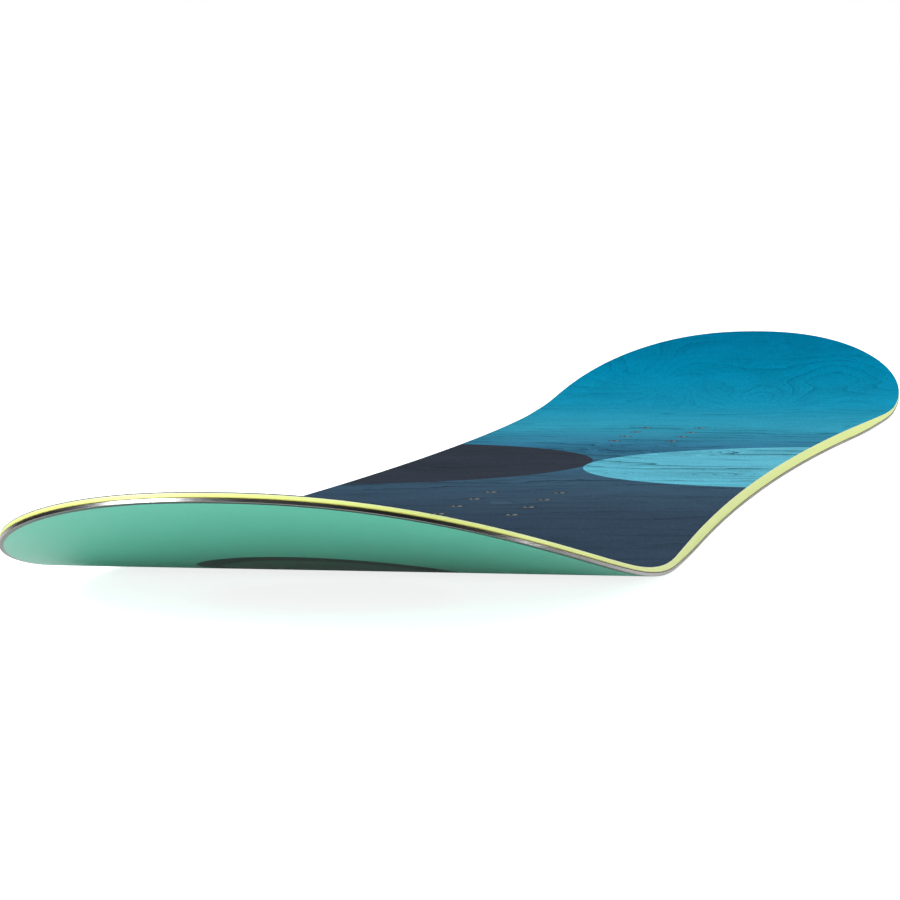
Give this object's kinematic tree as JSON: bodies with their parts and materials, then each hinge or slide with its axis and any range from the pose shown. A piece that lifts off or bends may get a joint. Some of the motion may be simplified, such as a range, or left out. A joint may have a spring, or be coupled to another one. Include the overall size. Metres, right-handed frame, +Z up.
{
  "type": "snowboard",
  "caption": "Twin-tip snowboard: sandwich of plastic base, steel edge, glass, wood core and stained veneer, with lime sidewall, upturned nose and tail and two binding insert groups.",
  "frame": {"origin": "mid length, on the centreline, on the plane that the flat base rests on", "axes": "+X runs from the nose to the tail, +Y is the left-hand side when facing the tail, +Z is up out of the deck"},
  "size_m": [1.44, 0.2802, 0.0627],
  "materials": {
    "edge_steel": "ground and polished steel",
    "edge_rubber": "matt black rubber foil",
    "glass_laminate": "cured glass and resin, pale where its cut edge shows",
    "glass_mat": "cured glass mat",
    "insert_steel": "dark stainless steel, M6 thread drawn as a plain bore",
    "seal_plastic": "soft plastic disc",
    "sidewall_lime": "satin lime plastic with fine milling lines",
    "core_hardwood": "planed beech strip",
    "core_softwood": "planed poplar strip",
    "stained_veneer": "wood veneer stained from slate at the nose to cyan at the tail under satin lacquer",
    "base_mint": "stone-ground sintered plastic",
    "base_teal": "stone-ground sintered plastic",
    "base_grey_green": "stone-ground sintered plastic"
  },
  "bodies": {
    "root": {"base_inlay_disc": "base_grey_green", "base_inlay_ring": "base_teal", "base_sheet": "base_mint", "core_centre_strip": "core_softwood", "core_insert_strip_left": "core_hardwood", "core_insert_strip_right": "core_hardwood", "core_mid_strip_left": "core_softwood", "core_mid_strip_right": "core_softwood", "core_outer_strip_left": "core_softwood", "core_outer_strip_right": "core_softwood", "core_side_strip_left": "core_hardwood", "core_side_strip_right": "core_hardwood", "edge_foil_left": "edge_rubber", "edge_foil_right": "edge_rubber", "insert_mat_front": "glass_mat", "insert_mat_rear": "glass_mat", "insert_seals_front": "seal_plastic", "insert_seals_rear": "seal_plastic", "inserts_front": "insert_steel", "inserts_rear": "insert_steel", "lower_glass_laminate": "glass_laminate", "nose_spacer": "sidewall_lime", "sidewall_left": "sidewall_lime", "sidewall_right": "sidewall_lime", "steel_edge_left": "edge_steel", "steel_edge_nose_left": "edge_steel", "steel_edge_nose_right": "edge_steel", "steel_edge_right": "edge_steel", "steel_edge_tail_left": "edge_steel", "steel_edge_tail_right": "edge_steel", "tail_spacer": "sidewall_lime", "upper_glass_laminate": "glass_laminate", "veneer_topsheet": "stained_veneer"}
  },
  "joints": []
}
